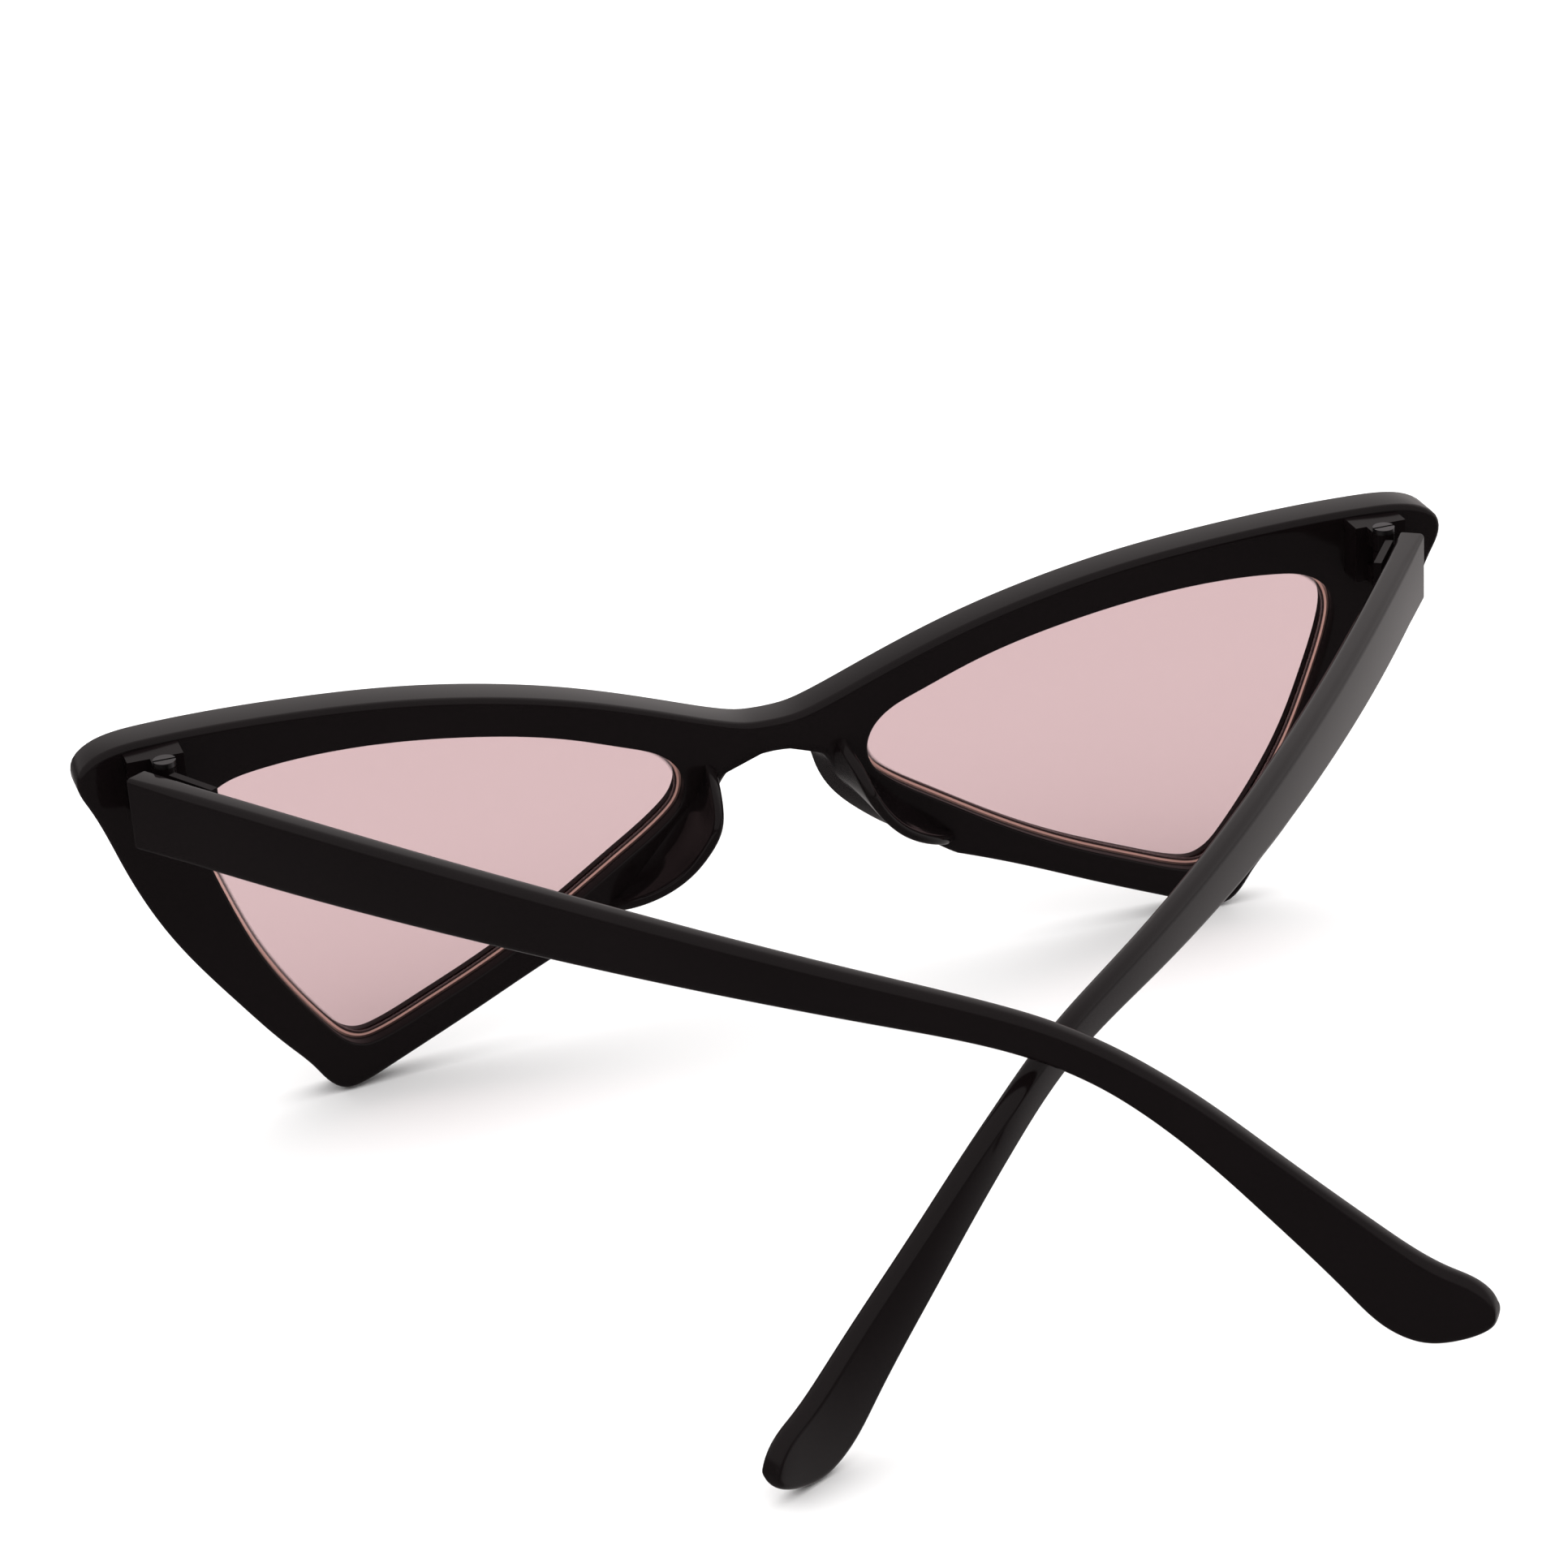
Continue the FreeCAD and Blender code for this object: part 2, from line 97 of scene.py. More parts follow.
# Upper and lower edge of a temple as (behind the pin, up), and its outer face as (behind the pin, outboard).
TEMPLE_TOP = np.array([
    (-1.1, 12.5), (15, 13.1), (35, 13.5), (50, 13.6), (68, 13.3), (85, 12.6), (97, 11.7), (103, 10.8),
    (109, 9.0), (115, 5.6), (121, 0.1), (129, -8.1), (134.5, -12.0), (136.7, -12.9), (138.1, -14.2),
    (138.6, -15.8)])
TEMPLE_UNDER = np.array([
    (-1.1, 4.75), (15, 5.25), (45, 6.55), (70, 7.5), (88, 7.85), (97, 7.65), (103, 6.85), (109, 4.8),
    (115, 0.3), (121, -6.9), (127, -15.3), (129.8, -18.6), (132.4, -19.7), (135.4, -19.1), (137.4, -18.0),
    (138.4, -16.9), (138.6, -15.8)])
TEMPLE_BOW = np.array([
    (-1.1, 4.2), (20, 4.2), (35, 3.8), (50, 2.95), (65, 1.5), (80, -0.75), (92, -3.3), (103, -6.3),
    (112, -9.3), (121, -14.4), (130, -20.2), (140, -24.2)])

# Middle of a nose pad's free edge as (across, behind, up), from its lower end to its upper one.
PAD_EDGE = np.array([
    (19.6, -0.6, -18.2), (18.0, 2.0, -17.0), (15.4, 4.0, -15.5), (12.4, 5.2, -13.4), (9.9, 5.9, -10.5),
    (8.5, 5.8, -8.0), (7.9, 4.2, -6.1), (7.5, 1.8, -4.8), (7.2, -0.6, -3.8)])


# ------------------------------------------------------------------ curves
def spline(points, count, closed=False):
    """Smooth curve through points: cubic pieces over the chord length whose slope and bend run on.

    The second derivatives come from the usual three-term balance at each point; an open curve has none
    at its ends, and a closed one wraps round. Returns count points at even steps of chord length.
    """
    points = np.asarray(points, float)
    knots = np.vstack([points, points[:1]]) if closed else points
    steps = np.linalg.norm(np.diff(knots, axis=0), axis=1)
    slopes = np.diff(knots, axis=0) / steps[:, None]
    if closed:
        before, after = np.roll(steps, 1), steps
        system = np.diag(2 * (before + after)) + np.roll(np.diag(after), 1, axis=1)
        system += np.roll(np.diag(before), -1, axis=1)
        bends = np.linalg.solve(system, 6 * (slopes - np.roll(slopes, 1, axis=0)))
        bends = np.vstack([bends, bends[:1]])
    else:
        system = np.eye(len(points))
        inner = np.arange(1, len(points) - 1)
        system[inner, inner - 1] = steps[:-1]
        system[inner, inner] = 2 * (steps[:-1] + steps[1:])
        system[inner, inner + 1] = steps[1:]
        right = np.zeros_like(knots)
        right[1:-1] = 6 * (slopes[1:] - slopes[:-1])
        bends = np.linalg.solve(system, right)
    along = np.concatenate([[0], np.cumsum(steps)])
    at = np.linspace(0, along[-1], count, endpoint=not closed)
    piece = np.clip(np.searchsorted(along, at, side="right") - 1, 0, len(steps) - 1)
    width = steps[piece][:, None]
    late = (at - along[piece])[:, None] / width
    early = 1 - late
    value = early * knots[piece] + late * knots[piece + 1]
    value += ((early ** 3 - early) * bends[piece] + (late ** 3 - late) * bends[piece + 1]) * width ** 2 / 6
    return value


def pick(curve, at):
    """Points of a fine curve at the given shares of its arc length."""
    reach = np.concatenate([[0], np.cumsum(np.linalg.norm(np.diff(curve, axis=0), axis=1))])
    return np.stack([np.interp(at * reach[-1], reach, curve[:, k]) for k in range(curve.shape[1])], 1)


def even(curve, start, end, count):
    """Points at even arc length on a fine curve, from index start up to index end, end not included."""
    run = curve[start:end + 1] if end > start else np.vstack([curve[start:], curve[:end + 1]])
    return pick(run, np.linspace(0, 1, count, endpoint=False))


def nearest(curve, place):
    """Index of the point of a curve that lies closest to a place."""
    return int(np.argmin(np.linalg.norm(curve - np.asarray(place, float), axis=1)))


def unit(vectors):
    """Vectors at length 1."""
    return vectors / np.maximum(np.linalg.norm(vectors, axis=-1, keepdims=True), 1e-12)


# ------------------------------------------------------------------ sizes, standing and turning
def sizes_of(group):
    """Values of a property group by name, with its lengths in millimetres."""
    values = {}
    for name, kind in group.bl_rna.properties.items():
        if kind.type == "FLOAT":
            values[name] = getattr(group, name) / MM if kind.unit == "LENGTH" else getattr(group, name)
    return SimpleNamespace(**values)


def front_sizes():
    """Sizes of the front, in millimetres."""
    return sizes_of(bpy.context.scene.sunglasses_front)


def temple_sizes():
    """Sizes of the temples, in millimetres and radians."""
    return sizes_of(bpy.context.scene.sunglasses_temples)


def standing():
    """Turn and shift from the upright frame, in millimetres, to the ground, in metres."""
    joint = JOINTS["left_temple_fold"]
    axis = Vector(joint["axis"]).normalized()
    lean = math.atan2(-axis.y, axis.z)
    sizes = front_sizes()
    turn = Matrix.Rotation(lean, 4, "X")
    pin = turn @ Vector((sizes.pin_x, sizes.pin_y, sizes.pin_z)) * MM
    return Matrix.Translation(Vector(joint["pos_m"]) - pin) @ turn @ Matrix.Scale(MM, 4)


def folded(side):
    """Turn and shift from a temple's own frame (outboard, behind the pin, up) to the upright frame."""
    front, temples = front_sizes(), temple_sizes()
    fold = temples.left_fold if side > 0 else temples.right_fold
    rise = temples.rise * side
    place = Matrix.Translation((side * front.pin_x, front.pin_y, 0))
    return place @ Matrix.Rotation(side * fold, 4, "Z") @ Matrix.Rotation(rise, 4, "X")


def moved(points, matrix):
    """Points turned and shifted by a matrix."""
    turn = np.array(matrix, float)
    return points @ turn[:3, :3].T + turn[:3, 3]


# ------------------------------------------------------------------ meshes
def grid_faces(rows, columns, closed=False):
    """Four-sided faces over a grid of points; closed joins the last column to the first."""
    across = columns if closed else columns - 1
    row, column = np.meshgrid(np.arange(rows - 1), np.arange(across), indexing="ij")
    row, column = row.ravel() * columns, column.ravel()
    onward = (column + 1) % columns
    return np.stack([row + column, row + columns + column, row + columns + onward, row + onward], 1)


def capped(rings, both):
    """A tube through rings of points as (points, faces), with the first end closed, or both."""
    count, around = rings.shape[:2]
    faces = [list(face) for face in grid_faces(count, around, closed=True)]
    faces.append(list(range(around)))
    if both:
        faces.append([(count - 1) * around + k for k in range(around)][::-1])
    return rings, faces


def make_piece(name, shells, matrix, material, body, nodes):
    """Joins shells, each (points, faces), into one smooth-shaded piece with its place in its mesh."""
    points, faces, base = [], [], 0
    for shell_points, shell_faces in shells:
        points.append(moved(shell_points.reshape(-1, 3), matrix))
        faces += [[base + int(i) for i in face] for face in shell_faces]
        base += len(points[-1])
    mesh = bpy.data.meshes.new(name)
    mesh.from_pydata(np.concatenate(points).tolist(), [], faces)
    tidy_mesh(mesh)
    piece = bpy.data.objects.new(name, mesh)
    bpy.context.scene.collection.objects.link(piece)
    mesh.polygons.foreach_set("use_smooth", np.ones(len(mesh.polygons), bool))
    mesh.set_sharp_from_angle(angle=SHARP_EDGE)
    mesh.materials.append(material)
    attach(piece, body)
    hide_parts(*nodes)
    return piece


def tidy_mesh(mesh):
    """Merges seams, drops faces with no area and points all normals outwards."""
    work = bmesh.new()
    work.from_mesh(mesh)
    bmesh.ops.remove_doubles(work, verts=work.verts, dist=MERGE)
    bmesh.ops.dissolve_degenerate(work, edges=work.edges, dist=NO_AREA)
    bmesh.ops.recalc_face_normals(work, faces=work.faces)
    work.to_mesh(mesh)
    work.free()
    mesh.update()


# ------------------------------------------------------------------ shader maths
class Wire:
    """A node socket that can be used in arithmetic: each operator adds one Math node."""

    def __init__(self, tree, socket):
        self.tree = tree
        self.socket = socket

    def _math(self, operation, other, flip=False):
        first, second = (other, self) if flip else (self, other)
        return self.tree.node("ShaderNodeMath", {"operation": operation}, {0: first, 1: second})

    def __add__(self, other):
        return self._math("ADD", other)

    def __radd__(self, other):
        return self._math("ADD", other, True)

    def __sub__(self, other):
        return self._math("SUBTRACT", other)

    def __rsub__(self, other):
        return self._math("SUBTRACT", other, True)

    def __mul__(self, other):
        return self._math("MULTIPLY", other)

    def __rmul__(self, other):
        return self._math("MULTIPLY", other, True)


class Tree:
    """A node tree with one method that adds any node."""

    def __init__(self, tree):
        self.tree = tree
        tree.nodes.clear()

    def node(self, kind, settings=None, inputs=None, output=0):
        """Adds a node with its settings and inputs, each a value or a Wire, and returns one output."""
        made = self.tree.nodes.new(kind)
        for name, value in (settings or {}).items():
            if name == "stops":
                set_stops(made.color_ramp, value)
            else:
                setattr(made, name, value)
        for name, value in (inputs or {}).items():
            socket = made.inputs[name]
            if isinstance(value, Wire):
                self.tree.links.new(value.socket, socket)
            else:
                socket.default_value = value
        return Wire(self, made.outputs[output])


def set_stops(ramp, stops):
    """Gives a colour ramp its (place, colour) stops."""
    while len(ramp.elements) < len(stops):
        ramp.elements.new(1)
    for element, (place, colour) in zip(ramp.elements, stops):
        element.position = place
        element.color = colour


def new_material(name):
    """An empty material and its node tree."""
    material = bpy.data.materials.new(name)
    material.use_nodes = True
    return material, Tree(material.node_tree)


def finish(tree, surface, output="ShaderNodeOutputMaterial"):
    """Wires a shader to the tree's output."""
    out = tree.tree.nodes.new(output)
    tree.tree.links.new(surface.socket, out.inputs["Surface"])


def black_plastic(name, roughness, ior):
    """Black plastic: colour and roughness vary with soft wipe marks, fine specks roughen it, and a slow
    wave of noise bumps it very slightly."""
    look = bpy.context.scene.sunglasses_finish
    material, tree = new_material(name)
    place = tree.node("ShaderNodeTexCoord", output="Object")
    smears = tree.node("ShaderNodeTexNoise", None,
                       {"Vector": place, "Scale": 60.0, "Detail": 3.0, "Roughness": 0.55})
    specks = tree.node("ShaderNodeTexNoise", None,
                       {"Vector": place, "Scale": 900.0, "Detail": 2.0, "Roughness": 0.6})
    peel = tree.node("ShaderNodeTexNoise", None, {"Vector": place, "Scale": 140.0, "Detail": 1.0})
    colour = tree.node("ShaderNodeMix", {"data_type": "RGBA"}, {
        0: smears, 6: (*look.plastic_colour, 1.0), 7: (*[1.5 * c for c in look.plastic_colour], 1.0)}, 2)
    rough = roughness * (0.75 + 0.35 * smears + 0.15 * specks)
    bump = tree.node("ShaderNodeBump", None, {"Strength": 0.02, "Distance": 0.0002, "Height": peel})
    finish(tree, tree.node("ShaderNodeBsdfPrincipled", None, {
        "Base Color": colour, "Roughness": rough, "Normal": bump, "IOR": ior}))
    return material


def pink_lens():
    """Tinted clear plastic: light passes straight through with the tint, and both faces mirror a little.

    By from_edge, the distance to the lens's edge, a copper-coloured painted highlight of the bevelled edge
    and then a painted dark shade line cover its border.
    """
    look = bpy.context.scene.sunglasses_finish
    material, tree = new_material("pink lens")
    clear = tree.node("ShaderNodeBsdfTransparent", None, {"Color": (*look.lens_tint, 1.0)})
    shine = tree.node("ShaderNodeBsdfAnisotropic", None,
                      {"Color": (1.0, 0.97, 0.97, 1.0), "Roughness": 0.03})
    facing = tree.node("ShaderNodeFresnel", None, {"IOR": look.lens_ior})
    pane = tree.node("ShaderNodeMixShader", None, {0: facing, 1: clear, 2: shine})
    rim = tree.node("ShaderNodeAttribute", {"attribute_name": "from_edge"}, output=2)
    # Painted light: from the lens's edge inwards, a copper-coloured painted highlight where its bevelled edge
    # catches light, then a painted dark shade line, then a pinkish blend into the clear pane.
    painted_edge_light_and_shade = tree.node("ShaderNodeValToRGB", {"stops": [
        (0.0, (0.9, 0.5, 0.43, 1.0)), (0.56, (0.9, 0.5, 0.43, 1.0)), (0.64, (0.03, 0.015, 0.015, 1.0)),
        (0.8, (0.05, 0.03, 0.03, 1.0)), (0.92, (0.4, 0.25, 0.25, 1.0))]}, {"Fac": rim})
    share = tree.node("ShaderNodeMapRange", None,
                      {"Value": rim, "From Min": 0.75, "From Max": 1.05, "To Min": 0.85, "To Max": 0.0})
    painted_bevel_light = tree.node("ShaderNodeBsdfPrincipled", None,
                      {"Base Color": painted_edge_light_and_shade, "Roughness": 0.25, "IOR": 1.3})
    mixed = tree.node("ShaderNodeMixShader", None, {0: share, 1: pane, 2: painted_bevel_light})
    finish(tree, mixed)
    return material


def screw_steel():
    """Dull steel whose roughness varies with a fine grain."""
    material, tree = new_material("screw steel")
    place = tree.node("ShaderNodeTexCoord", output="Object")
    grain = tree.node("ShaderNodeTexNoise", None, {"Vector": place, "Scale": 2500.0, "Detail": 3.0})
    finish(tree, tree.node("ShaderNodeBsdfPrincipled", None, {
        "Base Color": (0.16, 0.155, 0.16, 1.0), "Metallic": 1.0, "Roughness": 0.25 + 0.2 * grain}))
    return material


# ------------------------------------------------------------------ front
def back_face(x):
    """Depth of the wrapped back face at sideways distance x: a flat parabola of the wrap radius."""
    return x ** 2 / (2 * front_sizes().wrap_radius)


def outward(curve, closed):
    """Unit normals to a flat curve, a quarter turn to the left of the way it runs."""
    if closed:
        tangent = np.roll(curve, -1, axis=0) - np.roll(curve, 1, axis=0)
    else:
        tangent = np.gradient(curve, axis=0)
    tangent = unit(tangent)
    return np.stack([-tangent[:, 1], tangent[:, 0]], 1)


def facing_runs():
    """Matched stations round the half: points of the outline and the opening, and the opening's nose side."""
    outline = spline(OUTLINE, FINE)
    opening = spline(OPENING, FINE, closed=True)
    outer, inner = [], []
    for (place, facing, count), (place_2, facing_2, _) in zip(FACING[:-1], FACING[1:]):
        outer.append(even(outline, nearest(outline, place), nearest(outline, place_2), count))
        inner.append(even(opening, nearest(opening, facing), nearest(opening, facing_2), count))
    outer.append(outline[-1:])
    inner.append(opening[nearest(opening, FACING[-1][1])][None])
    outer, inner = np.vstack(outer), np.vstack(inner)
    start, end = nearest(opening, FACING[-1][1]), nearest(opening, FACING[0][1])
    cut_inner = even(opening, start, end, CUT_STATIONS + 1)[1:]
    return outer, inner, cut_inner


def arc_profile(radius, steps):
    """Quarter round as (inset from the wall, depth below the face), from the face to the wall."""
    turn = np.linspace(0, math.pi / 2, steps)
    return np.stack([radius * (1 - np.sin(turn)), radius * (1 - np.cos(turn))], 1)


def flank_wall(outer):
    """Inward normals of the outline, and how far its wall slants inwards from front to back at each point.

    The slant rises and falls as a power of a half sine wave over the nasal flank, and is nothing elsewhere.
    """
    normal = -outward(outer, False)
    normal[0] = (0, -1)
    normal[-1] = (0, 1)
    low, high = nearest(outer, FLANK_LOW), nearest(outer, FLANK_HIGH)
    share = np.clip((np.arange(len(outer)) - low) / (high - low), 0, 1)
    return normal, front_sizes().flank_slant * np.sin(math.pi * share) ** 1.2


def front_half():
    """One half of the front: a rim section carried round the lens opening.

    At each station the section runs from the front face over a small round into the opening, up its wall past
    a groove for the lens, over a small round, across the back face, over a larger round, down the side wall
    and back across the front face. The side wall slants on the nasal flank, where its back edge lies further
    from the nose. Two strips, one on each face, fill in between the opening and the mirror plane.
    """
    sizes = front_sizes()
    outer, inner, cut_inner = facing_runs()
    thick, big, small = sizes.thickness, sizes.edge_radius, sizes.opening_radius
    out_normal, slant = flank_wall(outer)
    opening_all = np.vstack([inner, cut_inner])
    in_normal_all = outward(opening_all, True)
    in_normal, cut_normal = in_normal_all[:len(inner)], in_normal_all[len(inner):]
    soft = arc_profile(small, 5)
    lens_back, lens_front = sizes.lens_inset, sizes.lens_inset + sizes.lens_thickness
    groove, lip = 0.5, 0.02

    def at_opening(inset, depth, base=inner, normal=in_normal):
        flat = base + normal * inset
        return np.stack([flat[:, 0], back_face(flat[:, 0]) - depth, flat[:, 1]], 1)

    def at_outline(inset, depth):
        flat = outer + out_normal * (inset + slant * (1 - depth / thick))[:, None]
        return np.stack([flat[:, 0], back_face(flat[:, 0]) - depth, flat[:, 1]], 1)

    opening_side = [(inset, thick - depth) for inset, depth in soft]
    opening_side += [(0, lens_front + lip), (groove, lens_front), (groove, lens_back), (0, lens_back - lip)]
    opening_side += [(inset, depth) for inset, depth in soft[::-1]]
    outline_side = [(inset, depth) for inset, depth in arc_profile(big, 9)]
    outline_side += [(inset, thick - depth) for inset, depth in arc_profile(sizes.front_radius, 6)[::-1]]
    rows = [at_opening(inset, depth) for inset, depth in opening_side]
    rows += bridge_rows(rows[-1], at_outline(big, 0.0), 0.0)
    rows += [at_outline(inset, depth) for inset, depth in outline_side]
    rows += bridge_rows(rows[-1], rows[0], thick)
    points = np.stack(rows, 1)
    shells = [(points, grid_faces(len(outer), points.shape[1], closed=True))]
    share = np.linspace(0, 1, len(cut_inner) + 2)
    base = np.vstack([inner[-1:], cut_inner, inner[:1]])
    normal = np.vstack([in_normal[-1:], cut_normal, in_normal[:1]])
    strip = [at_opening(inset, depth, base, normal) for inset, depth in opening_side]

    def mirror_line(inset, depth):
        top_z, low_z = outer[0, 1] - inset, outer[-1, 1] + inset
        return np.stack([0 * share, 0 * share - depth, low_z + (top_z - low_z) * share], 1)

    back_line, front_line = mirror_line(big, 0.0), mirror_line(sizes.front_radius, thick)
    middle = bridge_rows(strip[-1], back_line, 0.0)
    front_middle = bridge_rows(front_line, strip[0], thick)
    back_strip = np.stack(strip + middle + [back_line], 1)
    front_strip = np.stack([front_line] + front_middle + [strip[0]], 1)
    shells.append((back_strip, grid_faces(*back_strip.shape[:2])))
    shells.append((front_strip, grid_faces(*front_strip.shape[:2])))
    return shells


def bridge_rows(first, last, depth):
    """Rows between two edges of a face, set back onto the wrapped face at that depth."""
    rows = []
    for share in np.linspace(0, 1, FACE_ROWS + 2)[1:-1]:
        row = first + (last - first) * share
        row[:, 1] = back_face(row[:, 0]) - depth
        rows.append(row)
    return rows


def nose_pad():
    """Moulded nose pad: a fin carried along the nasal flank, growing out of its wall.

    Each section climbs straight from the flank wall to the fin's free edge, goes over it in a half round and
    comes down the lens side in a shallow swell that is widest near its foot. Both ends sink into the rim.
    """
    sizes = front_sizes()
    outer = facing_runs()[0]
    normal, slant = flank_wall(outer)
    low, high = nearest(outer, PAD_LOW), nearest(outer, PAD_HIGH)
    outer, normal, slant = outer[low:high + 1], normal[low:high + 1], slant[low:high + 1]
    edge = spline(PAD_EDGE, len(outer))
    half = sizes.pad_edge / 2
    sunk, proud, foot_spread, swell = 1.4, 0.02, 0.5, 0.9

    def flat_point(inset):
        flat = outer + normal * inset[:, None]
        return np.stack([flat[:, 0], back_face(flat[:, 0]) - sunk, flat[:, 1]], 1)

    across = np.stack([normal[:, 0], np.zeros(len(normal)), normal[:, 1]], 1)
    depth = np.array((0.0, 1.0, 0.0))
    nose_foot = flat_point(slant * (1 - sunk / sizes.thickness) - proud)
    lens_foot = flat_point(slant + sizes.pad_foot + foot_spread)
    nose_edge, lens_edge = edge - across * half, edge + across * half
    climb = np.linspace(0, 1, 12)[:, None, None]
    rising = nose_foot + (nose_edge - nose_foot) * climb
    turn = np.linspace(0, math.pi, 11)[1:-1, None, None]
    over = edge - across * half * np.cos(turn) + depth * half * np.sin(turn)
    falling = lens_edge + (lens_foot - lens_edge) * climb
    falling -= across * swell * np.sin(math.pi * climb) * climb
    return capped(np.concatenate([rising, over, falling]).transpose(1, 0, 2), both=True)


def mirrored_shell(shell):
    """A shell on the other side of the glasses."""
    points, faces = shell
    return points * np.array((-1, 1, 1)), faces


def lens_rim(count):
    """Edge of the left lens: the opening, pushed into the rim by the tuck."""
    rim = spline(OPENING, count, closed=True)
    return rim + outward(rim, True) * LENS_TUCK


def lens_shell(side):
    """Lens: rings that shrink from its edge to its middle, on the wrapped back face and on the front one.

    Near the edge the rings are set in by the distances of EDGE_RINGS, so that its painted edge highlight and
    painted shade line come out sharp.
    """
    sizes = front_sizes()
    rim = lens_rim(360)
    normal = outward(rim, True)
    inner = rim - normal * EDGE_RINGS[0]
    rings = np.linspace(0, 0.86, 12)
    flat = LENS_MIDDLE + (inner - LENS_MIDDLE) * rings[:, None, None]
    flat = np.concatenate([flat, rim - normal * EDGE_RINGS[:, None, None]])
    back = back_face(flat[..., 0]) - sizes.lens_inset
    front = back - sizes.lens_thickness
    upper = np.stack([flat[..., 0], back, flat[..., 1]], -1)
    lower = np.stack([flat[..., 0], front, flat[..., 1]], -1)
    points = np.concatenate([upper, lower[::-1]])
    faces = grid_faces(len(points), len(rim), closed=True)
    points = points * np.array((side, 1, 1))
    return points, faces


def mark_edge(piece, side):
    """Stores on each point of a lens how far it is from the lens's edge, in millimetres, as from_edge.

    The front face carries neither the painted edge highlight nor the painted shade line, so its points count
    as 2 mm further in.
    """
    places = moved(np.array([vertex.co for vertex in piece.data.vertices]), standing().inverted())
    flat = places[:, ::2] * (side, 1)
    rim = lens_rim(1500)
    gap = np.array([np.min(np.linalg.norm(rim - place, axis=1)) for place in flat])
    sizes = front_sizes()
    far = places[:, 1] < back_face(places[:, 0]) - sizes.lens_inset - sizes.lens_thickness / 2
    gap[far] += 2.0
    attribute = piece.data.attributes.new("from_edge", "FLOAT", "POINT")
    attribute.data.foreach_set("value", gap.astype(np.float32))


# ------------------------------------------------------------------ temples
def temple_shell(side):
    """Temple: a rounded bar section carried from the hinge end to the tip.

    Upper and lower edges are matched by their share of length and meet at the tip, where the section shrinks
    to a line. The section is a rectangle with rounded corners, set in from the bowed outer face. At the hinge
    end it draws in by a quarter round.
    """
    sizes = temple_sizes()
    corner, full_round, fine = 7, 0.95, 4000
    share = np.concatenate([np.linspace(0, 0.003, 9), np.linspace(0.006, 0.92, 170),
                            0.92 + 0.08 * np.sin(np.linspace(0.02, 1, 60) * math.pi / 2)])
    top, under = pick(spline(TEMPLE_TOP, fine), share), pick(spline(TEMPLE_UNDER, fine), share)
    bow = spline(TEMPLE_BOW, 2000)
    centre = (top + under) / 2
    span = top - under
    height = np.linalg.norm(span, axis=1)
    upward = span / np.maximum(height, 1e-9)[:, None]
    upward[-1] = upward[-2]
    behind = TEMPLE_BOW[0, 0], TEMPLE_BOW[-1, 0]
    full = np.interp(centre[:, 0], behind, (sizes.thickness, sizes.tip_thickness))
    rounding = np.interp(share, (0, 0.05, 0.3), (sizes.front_round, sizes.edge_round, full_round))
    radius = np.minimum(rounding, full / 2)
    reach = np.minimum(height / 2, radius)
    half_thick = full / 2 - radius + np.sqrt(np.maximum(radius ** 2 - (radius - reach) ** 2, 0))
    end = sizes.end_round
    from_end = np.minimum(centre[:, 0] - centre[0, 0], end)
    draw = end - np.sqrt(end ** 2 - (end - from_end) ** 2)
    half_high = np.maximum(height / 2 - draw, 0)
    half_thick = np.maximum(half_thick - draw, 0.0)
    round_now = np.minimum(np.minimum(radius, half_thick), half_high)
    quarter = np.linspace(0, math.pi / 2, corner)
    turn = np.concatenate([quarter + k * math.pi / 2 for k in range(4)])
    sign_t = np.repeat([1, -1, -1, 1], corner)
    sign_h = np.repeat([1, 1, -1, -1], corner)
    thick = sign_t * (half_thick - round_now)[:, None] + round_now[:, None] * np.cos(turn)
    high = sign_h * (half_high - round_now)[:, None] + round_now[:, None] * np.sin(turn)
    place = centre[:, None] + upward[:, None] * high[..., None]
    outer = np.interp(place[..., 0], bow[:, 0], bow[:, 1])
    slope = np.interp(place[..., 0], bow[:, 0], np.gradient(bow[:, 1], bow[:, 0]))
    along = np.sqrt(1 + slope ** 2)
    inward = (full / 2)[:, None] - thick
    across, behind_pin = side * (outer - inward / along), place[..., 0] + inward * slope / along
    return capped(np.stack([across, behind_pin, place[..., 1]], -1), both=False)


# ------------------------------------------------------------------ properties
def length(name, description, millimetres):
    """A length property, given in millimetres and kept in metres."""
    return bpy.props.FloatProperty(name=name, description=description, default=millimetres * MM, min=0.0,
                                   precision=5, unit="LENGTH")


def angle(name, description, degrees):
    """An angle property, given in degrees and kept in radians."""
    return bpy.props.FloatProperty(name=name, description=description, default=math.radians(degrees),
                                   subtype="ANGLE")


def gloss(name, description, value):
    """An index of refraction, which sets how much a surface mirrors."""
    return bpy.props.FloatProperty(name=name, description=description, default=value, min=1.0, subtype="NONE")


def colour(name, description, value):
    """A colour property."""
    return bpy.props.FloatVectorProperty(name=name, description=description, default=value, min=0.0, max=1.0,
                                         subtype="COLOR")


